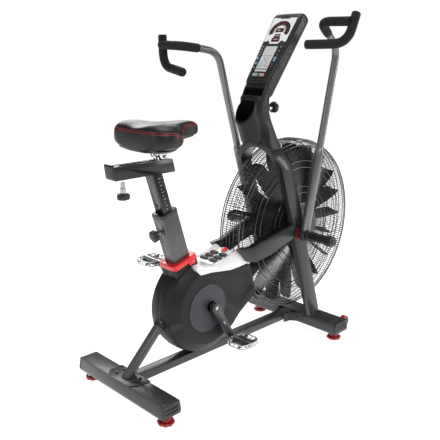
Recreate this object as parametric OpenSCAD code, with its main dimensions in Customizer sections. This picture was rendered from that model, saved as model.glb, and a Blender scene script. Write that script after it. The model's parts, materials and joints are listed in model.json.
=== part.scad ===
// Upright exercise bike with a caged air fan and two swinging arms.
// Millimetres, +X towards the fan, +Y to the rider's left, +Z up.
// The layout is drawn from its own datum, then moved so that the
// origin is the middle of the footprint, on the floor.

/* [Base] */
// Half length of the rear stabilizer
rear_half = 248; // [200:4:300]
// Half length of the front stabilizer
front_half = 254; // [200:4:300]
// Height of both stabilizer tops above the floor
base_top = 87; // [70:1:110]
// Distance of the levelling feet from the middle
foot_y = 217; // [150:1:230]

/* [Fan] */
// Outer radius of the wire cage
cage_r = 360; // [300:5:380]
// Number of fan blades
blade_count = 20; // [12:1:24]
// Number of wire ribs on each face of the cage in this model
rib_count = 16; // [8:1:32]

/* [Crank] */
// Crank arm length between centres
crank_len = 168; // [150:1:180]
// Angle of the right crank below the forward direction
crank_angle = 59.5; // [0:0.5:90]

/* [Seat] */
// Rearward lean of the seat tube and post
seat_lean = 17.2; // [10:0.1:22]
// Length of seat post standing out of its tube
post_out = 146; // [60:1:200]

/* [Arms] */
// Swing of each arm from its middle position, left back, right forward
arm_swing = 13.05; // [0:0.05:16]
// Distance of the outer grip bars from the middle
grip_y = 318; // [280:1:330]

/* [Hidden] */
datum_shift = 128.5;
fan = [405, 495];
crank = [-122, 283];
pivot = [343.5, 481.5];
cage_half = 51;
blade_chord = 80;
blade_tilt = 12;
side_in = 96;
side_out = 124;
belt_y = [42, 52];
big_pulley_r = 95;
small_pulley_r = 13;
tube_z = base_top - 50;
seat_ref = [-276, 665];
arch_mid = 745;
face_tilt = 54.15;
face_ref = [198, 1097];
wheel_axis = [556, 55];
wheel_r = 26;
$fn = 48;

// ---------- helpers ----------

module place() {
  translate([-datum_shift, 0, 0]) children();
}

module right_side() {
  mirror([0, 1, 0]) children();
}

module both_sides() {
  children();
  mirror([0, 1, 0]) children();
}

// a box from its two corners
module block(a, b) {
  translate(a) cube([b[0] - a[0], b[1] - a[1], b[2] - a[2]]);
}

// an outline in X and Z, as thick as y0 to y1
module plate(points, y0, y1) {
  translate([0, y1, 0]) rotate([90, 0, 0]) linear_extrude(height = y1 - y0) polygon(points);
}

// a disc about an axis along Y
module disc(c, r, y0, y1) {
  translate([c[0], y1, c[1]]) rotate([90, 0, 0]) cylinder(r = r, h = y1 - y0);
}

// a round bar from p to q
module rod(p, q, r) {
  v = q - p;
  len = norm(v);
  translate(p)
    rotate([0, acos(v[2] / len), atan2(v[1], v[0])])
      cylinder(r = r, h = len);
}

// round bars through a list of points, with a slightly fuller ball at each corner
module bar_path(points, r) {
  for (i = [0 : len(points) - 2]) rod(points[i], points[i + 1], r);
  if (len(points) > 2)
    for (i = [1 : len(points) - 2]) translate(points[i]) sphere(r = r + 0.3);
}

// the flat-topped section of a stabilizer
function foot_section(x, half_top, half_low, t) = [
  [x - half_top + t, base_top - t],
  [x + half_top - t, base_top - t],
  [x + half_low - t, tube_z + 12],
  [x + half_low - t - 4, tube_z + t],
  [x - half_low + t + 4, tube_z + t],
  [x - half_low + t, tube_z + 12]];

// the frame of the seat tube: origin at its mouth, Z along the tube
module along_seat() {
  translate([seat_ref[0], 0, seat_ref[1]]) rotate([0, -seat_lean, 0]) children();
}

// the frame of the console face: X up the face, Z out of it
module on_face() {
  translate([face_ref[0], 0, face_ref[1]]) rotate([0, -face_tilt, 0]) children();
}

// a rounded rectangle, drawn about its centre
module soft_rect(x, y, r) {
  union() {
    square([x - 2 * r, y], center = true);
    square([x, y - 2 * r], center = true);
    for (i = [-1, 1], j = [-1, 1]) translate([i * (x / 2 - r), j * (y / 2 - r)]) circle(r = r);
  }
}

module soft_block(x, y, r, z0, z1) {
  translate([0, 0, z0]) linear_extrude(height = z1 - z0) soft_rect(x, y, r);
}

// a grip knob with lobes, its axis along Z
module lobed(r, h, lobes) {
  cylinder(r = r - 5, h = h);
  for (i = [0 : lobes - 1]) rotate([0, 0, i * 360 / lobes]) translate([r - 6, 0, 0])
    cylinder(r = 6, h = h);
}

// ---------- base ----------

module stabilizer_tube(x, top, low, half) {
  difference() {
    plate(foot_section(x, top, low, 0), -half + 10, half - 10);
    plate(foot_section(x, top, low, 3), -half, half);
    for (s = [-1, 1]) translate([x, s * foot_y, tube_z - 1]) cylinder(r = 5.6, h = 10);
  }
}

module stabilizer_cap(x, top, low, half) {
  difference() {
    union() {
      plate(foot_section(x, top, low, 0), half - 10, half);
      plate(foot_section(x, top, low, 3.2), half - 22, half - 10);
    }
    block([x - low + 16, half - 3, tube_z + 14], [x + low - 16, half + 1, tube_z + 20]);
    block([x - low + 16, half - 3, tube_z + 28], [x + low - 16, half + 1, tube_z + 34]);
  }
}

module rear_stabilizer() {
  color("dimgray") place() stabilizer_tube(-465, 36, 43, rear_half);
}

module end_caps() {
  color("black") place() both_sides() {
    stabilizer_cap(-465, 36, 43, rear_half);
    stabilizer_cap(481, 39, 46, front_half);
  }
}

module rear_saddle_plate() {
  color("dimgray") place() difference() {
    plate([[-504, 90.1], [-425, 90.1], [-418.2, 47], [-421.4, 47], [-428.6, 87.1], [-504, 87.1]], -84, 84);
    translate([-500, 84, 80]) rotate([0, 0, 45]) cube([30, 30, 30], center = true);
    translate([-500, -84, 80]) rotate([0, 0, 45]) cube([30, 30, 30], center = true);
    block([-430, -22, 57.9], [-400, 22, 88.1]);
  }
}

module rear_strut() {
  color("gray") place() difference() {
    rod([-470, 0, 80], [-211, 0, 339], 18.5);
    block([-520, -30, 0], [-400, 30, 90.2]);
    rod([-480, 0, 70], [-205, 0, 345], 15.5);
    along_seat() block([-38.3, -40, -420], [40, 40, 0]);
  }
}

module main_rail() {
  color("gray") place() difference() {
    block([-421.5, -22, 58], [429.8, 22, 88]);
    block([-425, -19, 61], [440, 19, 85]);
    translate([-421.5, -30, 50]) rotate([0, -9.2, 0]) block([-20, 0, -10], [0, 60, 60]);
  }
}

module front_stabilizer() {
  color("dimgray") place() stabilizer_tube(481, 39, 46, front_half);
}

module front_gusset() {
  color("dimgray") place() difference() {
    translate([0, 0, 47]) linear_extrude(height = 40)
      polygon([[372, 26], [404, 34], [436, 82], [443, 82], [443, -82], [436, -82], [404, -34], [372, -26]]);
    translate([0, 0, 40]) linear_extrude(height = 60)
      polygon([[360, 22.1], [407, 24], [430, 60], [430, -60], [407, -24], [360, -22.1]]);
    plate(foot_section(481, 39, 46, 0), -120, 120);
  }
}

module wheel_brackets() {
  color("black") place() both_sides() {
    difference() {
      block([520, 197, 44], [567, 229, 66]);
      block([521.5, 202, 30], [580, 224, 90]);
      plate(foot_section(481, 39, 46, 0), 100, 254);
    }
    disc(wheel_axis, 5, 198, 228);
  }
}

module wheel() {
  difference() {
    disc(wheel_axis, wheel_r, 203, 223);
    disc(wheel_axis, 5.06, 200, 226);
  }
}

module wheel_left() {
  color("darkred") place() wheel();
}

module wheel_right() {
  color("darkred") place() right_side() wheel();
}

module foot_shape() {
  difference() {
    union() {
      lobed(31, 13, 8);
      translate([0, 0, 13]) cylinder(r = 17, h = 14);
      cylinder(r = 5, h = 62);
    }
    translate([0, 0, -1]) cylinder(r = 20, h = 3);
  }
}

module foot_rear_left() {
  color("darkred") place() translate([-465, foot_y, 0]) foot_shape();
}

module foot_rear_right() {
  color("darkred") place() translate([-465, -foot_y, 0]) foot_shape();
}

module foot_front_left() {
  color("darkred") place() translate([481, foot_y, 0]) foot_shape();
}

module foot_front_right() {
  color("darkred") place() translate([481, -foot_y, 0]) foot_shape();
}

// ---------- front frame ----------

module leg_shape() {
  difference() {
    union() {
      plate([[306, 470], [380, 452], [495, base_top], [433, base_top]], side_in, side_out);
      disc(pivot, 38, side_in, side_out);
    }
    plate([[330, 440], [372, 436], [484, base_top - 1], [444, base_top - 1]],
      side_in + 3, side_out - 3);
    disc(pivot, 12, side_in - 1, side_out + 1);
  }
}

module front_legs() {
  color("dimgray") place() both_sides() leg_shape();
}

// the tapered stay, seen from the side, turned so that it narrows towards the body
STAY = [[64, 415], [110, 407], [182, 422], [306, 471], [306, 541], [290, 527], [180, 497],
  [84, 472], [18, 472]];

module stay_outline(y0, y1) {
  translate([300, 110, 0]) rotate([0, 0, 7.7]) translate([-300, -110, 0]) plate(STAY, y0, y1);
}

module stay_shape() {
  difference() {
    stay_outline(97, 123);
    disc(pivot, 38.2, 60, 130);
    plate([[250, 640], [305, 505], [305, 445], [360, 445], [360, 640]], 60, 140);
    disc([20, 432], 16.2, 0, 66);
  }
}

module side_stays() {
  color("dimgray") place() both_sides() stay_shape();
}

ARCH = [[305, 508], [372, 500], [332, 618], [292, 728], [265, 800], [262, 872], [190, 872],
  [200, 800], [218, 768], [267, 612]];

// the arch seen along the machine: two legs under a half ring
module arch_front(r, y0) {
  rotate([90, 0, 90]) linear_extrude(height = 400) union() {
    translate([-r, y0]) square([2 * r, arch_mid - y0]);
    translate([0, arch_mid]) circle(r = r, $fn = 96);
  }
}

module front_arch() {
  color("dimgray") place() difference() {
    intersection() {
      plate(ARCH, -side_out, side_out);
      arch_front(side_out, 480);
    }
    translate([-1, 0, 0]) arch_front(side_in + 2, 470);
    disc(pivot, 38.1, -side_out - 1, side_out + 1);
    disc(fan, cage_r + 8, -61, 61);
  }
}

module axle_brackets() {
  color("darkgray") place() both_sides() difference() {
    union() {
      plate([[374, 466], [402, 467], [402, 523], [372, 508]], side_in, side_in + 7);
      disc(fan, 30, side_in - 8, side_in + 7);
    }
    disc(pivot, 38.1, 80, 130);
    disc(fan, 8, 80, 130);
    plate([[380, 452], [306, 470], [300, 380], [420, 380]], 80, 130);
    plate([[372, 500], [332, 618], [320, 618], [350, 500]], 80, 130);
    for (a = [0 : 60 : 300]) disc(fan + 20 * [cos(a), sin(a)], 3, 80, 130);
  }
}

module fan_axle() {
  color("silver") place() disc(fan, 8, -112, 112);
}

module foot_pegs() {
  color("silver") place() both_sides() difference() {
    union() {
      disc(pivot, 12, side_in, 166);
      disc(pivot, 30, side_out, 125.6);
      disc(pivot, 19, 166, 262);
      disc(pivot, 21, 262, 289);
    }
    disc(pivot, 8, 268, 290);
  }
}

// ---------- drive ----------

module inner_frame() {
  color("dimgray") place() {
    difference() {
      union() {
        disc(crank, 32, -38, 38);
        block([-146, -20, 88], [-98, 20, 270]);
        rod([-122, 0, 283], [20, 0, 432], 16);
        plate([[-150, 270], [-100, 300], [-135, 342], [-205, 330], [-210, 300]], -20, 20);
      }
      disc(crank, 26, -40, 40);
      block([-143, -17, 80], [-101, 17, 240]);
      along_seat() block([-38, -40, -352], [38, 40, 0]);
    }
    difference() {
      disc([20, 432], 16, -64, 64);
      belt_room();
    }
  }
}

module crank_bearings() {
  color("silver") place() both_sides() difference() {
    disc(crank, 26, 26, 38);
    disc(crank, 10.05, 20, 40);
  }
}

module crank_axle() {
  color("silver") place() disc(crank, 10, -110, 110);
}

// the arm points forward, with its end towards +X
module arm_plate() {
  translate([crank[0], 0, crank[1]]) difference() {
    union() {
      disc([0, 0], 20, 92, 109);
      disc([crank_len, 0], 16, 93, 107);
      plate([[0, -19], [0, 19], [crank_len, 14], [crank_len, -14]], 93, 107);
    }
    disc([0, 0], 10, 90, 111);
    disc([crank_len, 0], 7, 90, 111);
  }
}

module spindle() {
  translate([crank[0], 0, crank[1]]) {
    disc([crank_len, 0], 7, 93, 200);
    disc([crank_len, 0], 11, 107, 111);
  }
}

module turn_crank(a) {
  translate([crank[0], 0, crank[1]]) rotate([0, a, 0]) translate([-crank[0], 0, -crank[1]])
    children();
}

module crank_arms() {
  color("black") place() {
    right_side() turn_crank(crank_angle) {
      arm_plate();
      spindle();
    }
    turn_crank(crank_angle + 180) {
      arm_plate();
      spindle();
    }
  }
}

module crank_pulley() {
  color("dimgray") place() difference() {
    disc(crank, big_pulley_r, belt_y[0], belt_y[1]);
    disc(crank, 10, 30, 60);
    for (a = [0 : 60 : 300]) disc(crank + 58 * [cos(a), sin(a)], 22, 30, 60);
  }
}

module drive_belt() {
  slope = asin((big_pulley_r - small_pulley_r) / norm(fan - crank));
  dir = atan2(fan[1] - crank[1], fan[0] - crank[0]);
  up = dir + 90 - slope;
  low = dir - 90 + slope;
  color("black") place() difference() {
    union() {
      disc(crank, big_pulley_r + 3, belt_y[0] + 0.5, belt_y[1] - 0.5);
      disc(fan, small_pulley_r + 3, belt_y[0] + 0.5, belt_y[1] - 0.5);
      plate([crank + (big_pulley_r + 3) * [cos(up), sin(up)],
        fan + (small_pulley_r + 3) * [cos(up), sin(up)],
        fan + (small_pulley_r + 3) * [cos(low), sin(low)],
        crank + (big_pulley_r + 3) * [cos(low), sin(low)]], belt_y[0] + 0.5, belt_y[1] - 0.5);
    }
    disc(crank, big_pulley_r + 0.4, 30, 60);
    disc(fan, small_pulley_r + 0.4, 30, 60);
    plate([crank + (big_pulley_r + 0.4) * [cos(up), sin(up)],
      fan + (small_pulley_r + 0.4) * [cos(up), sin(up)],
      fan + (small_pulley_r + 0.4) * [cos(low), sin(low)],
      crank + (big_pulley_r + 0.4) * [cos(low), sin(low)]], 30, 60);
  }
}

// slot for the belt, wider than it by 5 mm all round
module belt_room() {
  dir = atan2(fan[1] - crank[1], fan[0] - crank[0]) + 90;
  side = [cos(dir), sin(dir)];
  plate([crank + (big_pulley_r + 8) * side, fan + (small_pulley_r + 8) * side,
    fan - (small_pulley_r + 8) * side, crank - (big_pulley_r + 8) * side], belt_y[0] - 2, belt_y[1] + 2);
}

module pedal_body() {
  difference() {
    union() {
      soft_block(100, 20, 6, -11, 11);
      translate([0, 84, 0]) soft_block(86, 10, 4, -9, 9);
      translate([-44, 42, 0]) soft_block(10, 90, 4, -9, 9);
      translate([44, 42, 0]) soft_block(10, 90, 4, -9, 9);
      translate([0, 42, 0]) soft_block(44, 90, 4, -9, 9);
    }
    disc([0, 0], 7.06, -20, 96);
  }
}

function pedal_at(a) = [crank[0] + crank_len * cos(a), crank[1] - crank_len * sin(a)];

module pedal_right() {
  p = pedal_at(crank_angle);
  color("silver") place() right_side() translate([p[0], 122, p[1]]) pedal_body();
}

module pedal_left() {
  p = pedal_at(crank_angle + 180);
  color("silver") place() translate([p[0], 122, p[1]]) pedal_body();
}

// ---------- fan ----------

module fan_hub() {
  color("black") place() difference() {
    union() {
      disc(fan, 60, -30, 30);
      disc(fan, small_pulley_r, 30, belt_y[1]);
      disc(fan, 40, -44, -30);
    }
    disc(fan, 8.06, -60, 60);
  }
}

// paddles set at 45 degrees to the fan's turning, on a thin disc
module fan_blades() {
  color("black") place() translate([fan[0], 0, fan[1]]) {
    for (i = [0 : blade_count - 1]) rotate([0, i * 360 / blade_count, 0])
      translate([62, 0, 0]) rotate([blade_tilt, 0, 0]) translate([0, -blade_chord / 2, -0.75])
        cube([282, blade_chord, 1.5]);
    rotate([90, 0, 0]) difference() {
      cylinder(r = 190, h = 3, center = true);
      cylinder(r = 60.1, h = 4, center = true);
    }
  }
}

// rings of the cage: radius and height over the middle plane
RINGS = [[360, 51], [322, 56], [270, 61], [210, 66], [150, 70], [95, 73]];

// a ring of square wire about the fan's axis
module wire_ring(r, y, t) {
  translate([fan[0], 0, fan[1]]) rotate([90, 0, 0]) rotate_extrude($fn = 96)
    translate([r - 2 * t, -y - t]) square(2 * t);
}

// a flat rib that follows the rings from the hub plate to the rim
module cage_rib(a) {
  translate([fan[0], 0, fan[1]]) rotate([0, a, 0]) translate([0, 0, -1.5]) linear_extrude(height = 3)
    polygon([[92, 71.5], [94, 75], [150, 72], [210, 68], [270, 63], [322, 58], [357, 53],
      [357, 49], [322, 54], [270, 59], [210, 64], [150, 68]]);
}

module cage_side() {
  difference() {
    union() {
      wire_ring(cage_r, cage_half, 3);
      for (k = [1 : 5]) wire_ring(RINGS[k][0], RINGS[k][1], 2);
      for (i = [0 : rib_count - 1]) cage_rib(i * 360 / rib_count);
      disc(fan, 96, 71, 75);
      disc(fan, 14, 75, side_in - 8);
    }
    disc(fan, 8, 60, 100);
  }
}

module belt_slot() {
  translate([fan[0], 47, fan[1]]) rotate([0, 90 - 21.3 + 90, 0]) block([280, -9, -76], [380, 9, 76]);
}

module cage_sides() {
  color("silver") place() {
    difference() {
      cage_side();
      belt_slot();
    }
    right_side() cage_side();
  }
}

module cage_band() {
  color("gray") place() difference() {
    union() {
      wire_ring(cage_r, 17, 2);
      wire_ring(cage_r, -17, 2);
      for (i = [0 : 2 * rib_count - 1]) {
        a = i * 180 / rib_count;
        translate([fan[0], 0, fan[1]]) rotate([0, a, 0]) block([355, -48, -2], [359, 48, 2]);
      }
    }
    belt_slot();
  }
}

// ---------- body ----------

// line where the white cover meets the body, from the seat tube forwards
SEAM = [[-197, 445], [-170, 413], [-113, 411.8], [-13, 396.8], [35, 397.8], [84, 404.5]];
BODY = [[-170, 413], [-113, 411.8], [-13, 396.8], [35, 397.8], [92, 396], [130, 269], [38, 210],
  [-7, 168], [-60, 150]];
CAVITY = [[-164, 409], [-113, 407.8], [-13, 392.8], [35, 393.8], [88, 392], [125, 271],
  [36, 213.5], [-9, 172], [-60, 155]];

// everything above the seam
module over_seam(gap) {
  translate([0, 0, gap]) plate(concat(SEAM, [[140, 404.5], [140, 620], [-197, 620]]), -100, 100);
}

// room for the inner frame, the belt and the seat tube
module inner_room() {
  rod([-122, 0, 283], [22, 0, 434], 16.4);
  disc([20, 432], 16.4, -66, 66);
  belt_room();
  along_seat() soft_block(76.8, 60.8, 8, -420, -150);
}

module drum(grow) {
  translate([crank[0] + 2, 0, crank[1] - 1]) rotate([90, 0, 0]) rotate_extrude($fn = 96)
    polygon([[0, -75 - grow], [150 + grow, -75 - grow], [186 + grow, -50], [193 + grow, -14],
      [193 + grow, 14], [186 + grow, 50], [150 + grow, 75 + grow], [0, 75 + grow]]);
}

module shroud_body() {
  difference() {
    union() {
      difference() {
        drum(0);
        over_seam(0);
      }
      plate(BODY, -75, 75);
      // boss under the seat collar
      along_seat() soft_block(112, 92, 14, -246, -212.1);
    }
    difference() {
      drum(-3);
      over_seam(-4);
    }
    plate(CAVITY, -72, 72);
    disc(fan, cage_r + 5, -61.5, 61.5);
    disc(fan, cage_r - 60, -100, 100);
    disc(crank, 22, -100, 100);
    inner_room();
    rod([-500, 0, 50], [-211, 0, 339], 18.8);
    block([-147, -21, 60], [-97, 21, 130]);
    both_sides() stay_outline(96.8, 123.2);
    plate([[-300, 0], [300, 0], [300, 88.1], [-300, 88.1]], -30, 30);
  }
}

module shroud_left() {
  color([0.12, 0.12, 0.13]) place() intersection() {
    shroud_body();
    block([-400, 0, 0], [300, 200, 600]);
  }
}

module shroud_right() {
  color([0.12, 0.12, 0.13]) place() intersection() {
    shroud_body();
    block([-400, -200, 0], [300, 0, 600]);
  }
}

module crank_covers() {
  color([0.3, 0.3, 0.33]) place() both_sides() difference() {
    disc([-137, 278], 92, 75, 79);
    disc(crank, 22, 60, 90);
  }
}

// upper edge of the cover along the middle
CREST = [[92, 416], [38, 461], [10, 450], [-30, 440], [-90, 432], [-140, 444], [-164, 456],
  [-192, 452]];

module top_cover() {
  color("white") place() difference() {
    intersection() {
      plate(concat(SEAM, [[100, 405]], CREST), -77, 77);
      over_seam(0.2);
    }
    intersection() {
      plate([[-150, 400], [84, 400], [34, 454], [8, 444], [-30, 434], [-90, 426], [-140, 437],
        [-150, 440]], -71, 71);
      over_seam(4);
    }
    disc(fan, cage_r + 5, -61.5, 61.5);
    disc(fan, cage_r - 30, -100, 100);
    both_sides() stay_outline(96.8, 123.2);
    along_seat() soft_block(113, 93, 14, -260, -150);
    inner_room();
    both_sides() plate([[52, 416], [66, 420], [66, 428], [52, 424]], 74, 90);
  }
}

module step_pads() {
  color([0.2, 0.2, 0.22]) place() {
    for (i = [0 : 2], s = [-1, 1])
      translate([-62 + 27 * i, s * 24, 437.2 + 4.6 * i]) rotate([0, -9, 0])
        soft_block(19, 42, 9, 0, 4);
    translate([24, 0, 456.6]) rotate([0, -21, 0]) cylinder(r = 13, h = 4);
  }
}

// ---------- seat ----------

module seat_tube() {
  color("gray") place() along_seat() difference() {
    soft_block(76, 60, 8, -352, -12);
    soft_block(70, 54, 6, -360, 10);
    translate([0, 0, -66]) rotate([0, -90, 0]) cylinder(r = 7, h = 60);
  }
}

module post_sleeve() {
  color("black") place() along_seat() difference() {
    union() {
      soft_block(78, 62, 9, -12, 2);
      soft_block(69.8, 53.8, 6, -150, -12);
    }
    soft_block(42.8, 50.8, 5, -160, 10);
    translate([0, 0, -66]) rotate([0, -90, 0]) cylinder(r = 7, h = 60);
  }
}

module post_collar() {
  color("red") place() along_seat() difference() {
    union() {
      soft_block(116, 96, 16, -212, -194);
      block([10, -50, -224], [38, -47.2, -204]);
      block([10, 47.2, -224], [38, 50, -204]);
    }
    soft_block(76.4, 60.4, 8, -240, -190);
  }
}

module seat_post() {
  color("black") place() {
    difference() {
      along_seat() difference() {
        soft_block(42, 50, 5, -200, post_out + 20);
        soft_block(36, 44, 3, -210, post_out - 12);
        for (i = [-6 : 4]) translate([0, 0, -66 + 25 * i]) rotate([0, -90, 0])
          cylinder(r = 5, h = 40);
      }
      block([-420, -60, 806.5], [-200, 60, 1000]);
    }
    // carrier tube for the saddle slider
    difference() {
      plate([[-486, 806], [-238, 806], [-250, 852], [-496, 852]], -22, 22);
      block([-500, -19, 809], [-200, 19, 849]);
      block([-460, -8, 840], [-262, 8, 860]);
      block([-470, -6, 800], [-413, 6, 812]);
    }
    // end plugs
    plate([[-487, 809.2], [-481, 809.2], [-488, 848.8], [-495, 848.8]], -18.8, 18.8);
    plate([[-246, 809.2], [-240, 809.2], [-250, 848.8], [-256, 848.8]], -18.8, 18.8);
  }
}

module seat_slider() {
  color("silver") place() {
    difference() {
      block([-466, -18.5, 810], [-286, 18.5, 848]);
      block([-440, -15, 813], [-300, 15, 845]);
    }
    translate([-449, 0, 752]) cylinder(r = 4, h = 62);
    translate([-300, 0, 846]) cylinder(r = 7, h = 26);
    disc([-300, 874], 12, -30, 30);
    both_sides() difference() {
      disc([-300, 876], 17, 20, 34);
      disc([-300, 874], 12, 10, 40);
    }
    for (x = [-314, -286]) translate([x, 0, 854]) cylinder(r = 4, h = 24);
  }
}

module saddle() {
  color([0.08, 0.08, 0.08]) place() difference() {
    intersection() {
      translate([0, 0, 850]) linear_extrude(height = 160)
        polygon([[-404, 92], [-396, 118], [-378, 138], [-350, 147], [-318, 143], [-288, 122],
          [-258, 84], [-230, 54], [-190, 38], [-150, 29], [-131, 20], [-125, 0], [-131, -20],
          [-150, -29], [-190, -38], [-230, -54], [-258, -84], [-288, -122], [-318, -143],
          [-350, -147], [-378, -138], [-396, -118], [-404, -92]]);
      plate([[-406, 922], [-402, 958], [-384, 978], [-350, 983], [-300, 972], [-230, 962],
        [-160, 956], [-134, 948], [-124, 936], [-127, 922], [-170, 914], [-250, 908],
        [-290, 892], [-380, 892], [-400, 900]], -160, 160);
    }
    block([-345, -45, 880], [-255, 45, 896]);
  }
}

module post_knob() {
  color([0.2, 0.2, 0.2]) place() along_seat() translate([-39, 0, -66]) rotate([0, -90, 0]) {
    translate([0, 0, -17]) cylinder(r = 5, h = 50);
    translate([0, 0, 1]) cylinder(r = 10, h = 18);
    translate([0, 0, 18]) lobed(24, 24, 5);
  }
}

module slider_knob() {
  color([0.2, 0.2, 0.2]) place() translate([-449, 0, 0]) difference() {
    union() {
      translate([0, 0, 761]) cylinder(r = 9, h = 34);
      translate([0, 0, 734]) lobed(24, 28, 5);
    }
    translate([0, 0, 748]) cylinder(r = 4.06, h = 60);
  }
}

// ---------- mast and console ----------

CUP = [-0.355, 0.935];
CUP_FOOT = [182, 872];

module along_cup() {
  translate([CUP_FOOT[0], 0, CUP_FOOT[1]]) rotate([0, atan2(CUP[0], CUP[1]), 0]) children();
}

module cup_solid(r, z0) {
  difference() {
    along_cup() translate([0, 0, z0]) cylinder(r = r, h = 220 - z0);
    // oblique mouth
    translate([113, -100, 954]) rotate([0, -61.8, 0]) block([-80, 0, 0], [220, 200, 120]);
  }
}

module cup_holder() {
  color("black") place() difference() {
    cup_solid(47, 8);
    along_cup() translate([0, 0, 20]) cylinder(r = 42, h = 240);
    block([60, -80, 800], [180, 80, 858]);
    translate([-1, 0, 0]) arch_front(side_out + 0.3, 480);
  }
}

// half widths of the mast, at the arch, over it and upwards
module mast_front() {
  rotate([90, 0, 90]) linear_extrude(height = 400)
    polygon([[-93, 780], [-93, 806], [-70, 872], [-58, 950], [-58, 1080], [58, 1080],
      [58, 950], [70, 872], [93, 806], [93, 780]]);
}

module mast() {
  color([0.16, 0.16, 0.17]) place() difference() {
    intersection() {
      plate([[196, 806], [275, 806], [268, 851], [216, 988], [222, 1046], [176, 1056], [160, 1030],
        [150, 985], [174, 915], [190, 860]], -94, 94);
      mast_front();
    }
    cup_solid(47.1, -40);
    along_cup() cylinder(r = 42, h = 240);
    translate([-1, 0, 0]) arch_front(side_out + 0.2, 480);
    on_face() block([-64, -54, -24], [-24, 54, 30]);
  }
}

module mast_knob() {
  color([0.2, 0.2, 0.2]) place() translate([226, 0, 985]) rotate([0, 84, 0]) {
    cylinder(r = 6, h = 62);
    translate([0, 0, 62]) lobed(24, 22, 5);
  }
}

module console_housing() {
  color([0.2, 0.2, 0.22]) place() difference() {
    on_face() intersection() {
      plate([[-80, 0], [-8, 0], [-2, -8], [296, -8], [302, 0], [306, 0], [325, -47], [228, -50],
        [124, -54], [-26, -61], [-44, -52], [-60, -30]], -80, 80);
      translate([0, 0, -100]) linear_extrude(height = 140)
        polygon([[-82, -50], [-20, -60], [0, -56], [306, -74], [330, -66], [330, 66], [306, 74],
          [0, 56], [-20, 60], [-82, 50]]);
    }
    on_face() {
      block([-62, -52, -22], [-26, 52, 4]);
      block([8, -48, -46], [290, 48, -12]);
      for (k = KEYS) translate([k[0], k[1], -14]) cylinder(r = k[2] + 1, h = 20);
    }
    plate([[222, 1046], [176, 1056], [160, 1030], [150, 985], [216, 988]], -58.1, 58.1);
    along_cup() cylinder(r = 47.4, h = 260);
  }
}

// console keys: distance up the face, side, radius
KEYS = [[26, 17, 6], [26, -17, 6], [100, 45, 4], [100, -45, 4]];

module console_face() {
  color("white") place() on_face() difference() {
    linear_extrude(height = 8) polygon([[2, -50], [292, -64], [292, 64], [2, 50]]);
    translate([0, 0, -1]) linear_extrude(height = 10) polygon([[46, -34], [166, -36], [166, 36], [46, 34]]);
    for (k = KEYS) translate([k[0], k[1], -1]) cylinder(r = k[2] + 0.6, h = 20);
    translate([0, 0, -8]) linear_extrude(height = 13)
      polygon([[6, -46], [288, -60], [288, 60], [6, 46]]);
  }
}

module lcd_lens() {
  color([0.6, 0.65, 0.6]) place() on_face() translate([0, 0, 3]) linear_extrude(height = 3)
    polygon([[46.2, -33.8], [165.8, -35.8], [165.8, 35.8], [46.2, 33.8]]);
}

module key_shape(k) {
  place() on_face() translate([k[0], k[1], -5]) cylinder(r = k[2], h = 15);
}

module key_start() {
  color("green") key_shape(KEYS[0]);
}

module key_stop() {
  color("red") key_shape(KEYS[1]);
}

module key_left() {
  color("blue") key_shape(KEYS[2]);
}

module key_right() {
  color("blue") key_shape(KEYS[3]);
}

// ---------- arms ----------

ARM = [[343.5, 145, 481.5], [315, 162, 1218], [229, 170, 1256], [156, 187, 1293],
  [162, grip_y, 1298]];
OUTER = [[182, grip_y, 1332], [140, grip_y, 1238], [120, 284, 1206], [123, 161, 1206]];

module swing(a) {
  translate([pivot[0], 0, pivot[1]]) rotate([0, a, 0]) translate([-pivot[0], 0, -pivot[1]]) children();
}

module arm_shape() {
  difference() {
    union() {
      bar_path(ARM, 12.5);
      bar_path(OUTER, 12.5);
      rod(ARM[0] + [0, 0, 20], ARM[0] + 0.955 * (ARM[1] - ARM[0]), 15);
      rod(ARM[0] + [0, 0, 20], ARM[0] + 0.46 * (ARM[1] - ARM[0]), 18.5);
      disc(pivot, 25, 130, 162);
    }
    disc(pivot, 12.06, 100, 180);
  }
}

module grip_shape() {
  difference() {
    union() {
      bar_path([ARM[2], ARM[3], ARM[4]], 17);
      bar_path(OUTER, 17);
    }
    bar_path([ARM[1], ARM[2], ARM[3], ARM[4] + [0, 3, 0]], 13);
    bar_path([OUTER[0] + [3, 0, 6], OUTER[1], OUTER[2], OUTER[3] + [0, -4, 0]], 13);
  }
}

module arm_left() {
  color("silver") place() swing(-arm_swing) arm_shape();
}

module arm_right() {
  color("silver") place() right_side() swing(arm_swing) arm_shape();
}

module grip_left() {
  color("black") place() swing(-arm_swing) grip_shape();
}

module grip_right() {
  color("black") place() right_side() swing(arm_swing) grip_shape();
}

// ---------- fasteners ----------

module bolt_z(x, y, z) {
  translate([x, y, z]) cylinder(r = 6, h = 4);
}

module frame_bolts() {
  color("black") place() {
    for (s = [-1, 1]) {
      bolt_z(-474, s * 48, 90.15);
      bolt_z(-440, s * 48, 90.15);
      translate([419.8, s * 58.2, 66]) rotate([0, 0, -s * 33.7]) rotate([0, -90, 0]) cylinder(r = 6, h = 5);
      disc(pivot, 9, s > 0 ? 289 : -291, s > 0 ? 291 : -289);
    }
  }
}

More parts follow.
